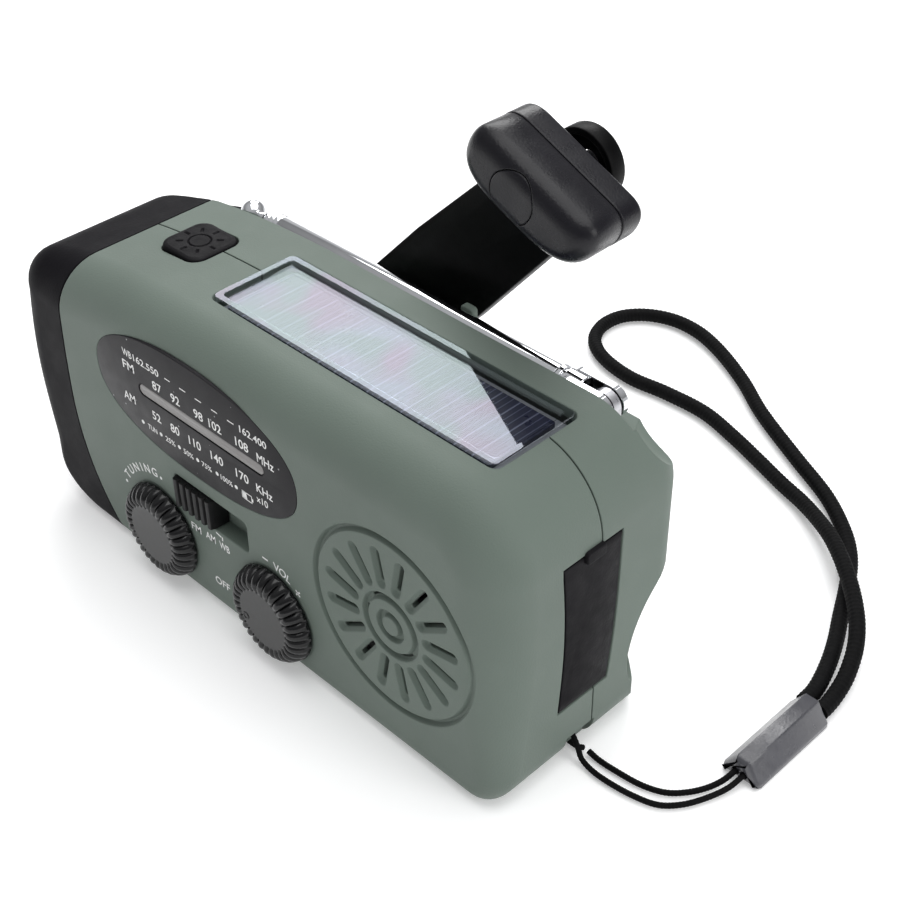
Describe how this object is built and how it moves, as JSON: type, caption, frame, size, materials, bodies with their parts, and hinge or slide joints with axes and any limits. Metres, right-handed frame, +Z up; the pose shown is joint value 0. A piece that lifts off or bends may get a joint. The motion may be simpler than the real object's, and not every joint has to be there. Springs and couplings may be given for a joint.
{
  "type": "emergency radio",
  "caption": "Hand-cranked emergency radio with solar window, torch, telescopic aerial, ribbed knobs, dial and wrist strap.",
  "frame": {"origin": "middle of the housing's flat underside", "axes": "+Z up, dial and speaker face -Y, torch at -X, charging ports at +X"},
  "size_m": [0.1542, 0.138, 0.1003],
  "materials": {
    "green_shell": "soft-touch sage green, fine matte",
    "black_rubber": "matte black, slightly soft",
    "clear_plastic": "clear polished plastic",
    "chrome": "bright plated",
    "board": "green solder resist",
    "steel": "plain steel",
    "dial_grey": "charcoal, satin, printed scale",
    "scale_white": "pale translucent",
    "black_paper": "dark matte",
    "nylon": "natural nylon",
    "battery_wrap": "shrink wrap",
    "solar_cell": "dark blue cell with fine pale lines",
    "gloss_black": "glossy black",
    "brass": "turned brass",
    "satin_black": "satin black",
    "cord": "braided black cord"
  },
  "bodies": {
    "housing": {"front_shell": "green_shell", "back_shell": "green_shell", "torch_bezel": "black_rubber", "torch_lens": "clear_plastic", "torch_led_1": "clear_plastic", "torch_led_2": "clear_plastic", "torch_led_3": "clear_plastic", "solar_cover": "clear_plastic", "torch_reflector": "chrome", "torch_board": "board", "main_board": "board", "light_board": "board", "housing_screw_1": "steel", "housing_screw_2": "steel", "housing_screw_3": "steel", "housing_screw_4": "steel", "speaker_basket": "steel", "volume_pot": "steel", "band_switch": "steel", "usb_socket": "steel", "charge_socket": "steel", "gearbox_plate": "steel", "generator": "steel", "aerial_bracket": "steel", "dial_panel": "dial_grey", "scale_window": "scale_white", "speaker_cone": "black_paper", "speaker_magnet": "black_paper", "ferrite_rod": "black_paper", "tuning_capacitor": "nylon", "battery": "battery_wrap", "solar_cell": "solar_cell", "light_switch": "satin_black", "strap_lock": "satin_black", "strap_loop": "cord", "strap_thread_1": "cord", "strap_thread_2": "cord"},
    "tuning": {"tuning_knob": "gloss_black", "tuning_shaft": "brass"},
    "pointer": {"dial_pointer": "scale_white"},
    "volume": {"volume_knob": "gloss_black", "volume_shaft": "brass"},
    "band": {"band_slider": "satin_black"},
    "light": {"light_button": "black_rubber"},
    "port": {"port_cover": "black_rubber"},
    "aerial_base": {"aerial_knuckle": "chrome", "aerial_section_1": "chrome"},
    "aerial_mid_1": {"aerial_section_2": "chrome"},
    "aerial_mid_2": {"aerial_section_3": "chrome"},
    "aerial_end": {"aerial_tip": "chrome"},
    "hub": {"crank_hub": "satin_black", "drive_gear": "nylon", "fold_pin": "steel"},
    "arm": {"crank_arm": "satin_black", "grip_axle": "steel"},
    "grip": {"grip_shell": "satin_black", "grip_band": "satin_black", "grip_cap": "satin_black"},
    "step_gear": {"step_up_gear": "nylon"},
    "rotor": {"generator_pinion": "brass"}
  },
  "joints": [
    {"name": "tuning_turn", "type": "hinge", "parent": "housing", "child": "tuning", "pos_m": [-0.0217, -0.022, 0.0113], "axis": [0, 1, 0], "range_deg": [0, 270]},
    {"name": "pointer_slide", "type": "slide", "parent": "housing", "child": "pointer", "axis": [1, 0, 0], "range_m": [0, 0.0315]},
    {"name": "volume_turn", "type": "hinge", "parent": "housing", "child": "volume", "pos_m": [0.0104, -0.022, 0.0111], "axis": [0, 1, 0], "range_deg": [0, 280]},
    {"name": "band_slide", "type": "slide", "parent": "housing", "child": "band", "axis": [1, 0, 0], "range_m": [0, 0.0084]},
    {"name": "light_press", "type": "slide", "parent": "housing", "child": "light", "axis": [0, 0, -1], "range_m": [0, 0.0008], "stiffness_N_per_m": 600},
    {"name": "port_open", "type": "hinge", "parent": "housing", "child": "port", "pos_m": [0.064, -0.0009, 0.0131], "axis": [0, 1, 0], "range_deg": [0, 100]},
    {"name": "aerial_tilt", "type": "hinge", "parent": "housing", "child": "aerial_base", "pos_m": [0.05, 0.0172, 0.056], "axis": [0, 1, 0], "range_deg": [0, 52]},
    {"name": "aerial_slide_1", "type": "slide", "parent": "aerial_base", "child": "aerial_mid_1", "axis": [-1, 0, 0], "range_m": [0, 0.06]},
    {"name": "aerial_slide_2", "type": "slide", "parent": "aerial_mid_1", "child": "aerial_mid_2", "axis": [-1, 0, 0], "range_m": [0, 0.06]},
    {"name": "aerial_slide_3", "type": "slide", "parent": "aerial_mid_2", "child": "aerial_end", "axis": [-1, 0, 0], "range_m": [0, 0.06]},
    {"name": "crank_spin", "type": "hinge", "parent": "housing", "child": "hub", "pos_m": [-0.0135, 0.022, 0.0365], "axis": [0, -1, 0], "range_deg": [-12, 260]},
    {"name": "crank_fold", "type": "hinge", "parent": "hub", "child": "arm", "pos_m": [-0.0135, 0.0257, 0.0365], "axis": [-0.7314, 0, 0.682], "range_deg": [0, 180]},
    {"name": "grip_spin", "type": "hinge", "parent": "arm", "child": "grip", "pos_m": [0.03697, 0.016, 0.09062], "axis": [0, 1, 0], "continuous": true},
    {"name": "step_up_spin", "type": "hinge", "parent": "housing", "child": "step_gear", "pos_m": [0.0035, 0.014, 0.0365], "axis": [0, -1, 0], "continuous": true},
    {"name": "rotor_spin", "type": "hinge", "parent": "housing", "child": "rotor", "pos_m": [0.0205, 0.012, 0.0365], "axis": [0, -1, 0], "continuous": true}
  ],
  "couplings": [
    {"joint": "pointer_slide", "follows": "tuning_turn", "m_per_rad": 0.006684},
    {"joint": "step_up_spin", "follows": "crank_spin", "ratio": -2.4},
    {"joint": "rotor_spin", "follows": "crank_spin", "ratio": 5.76}
  ]
}
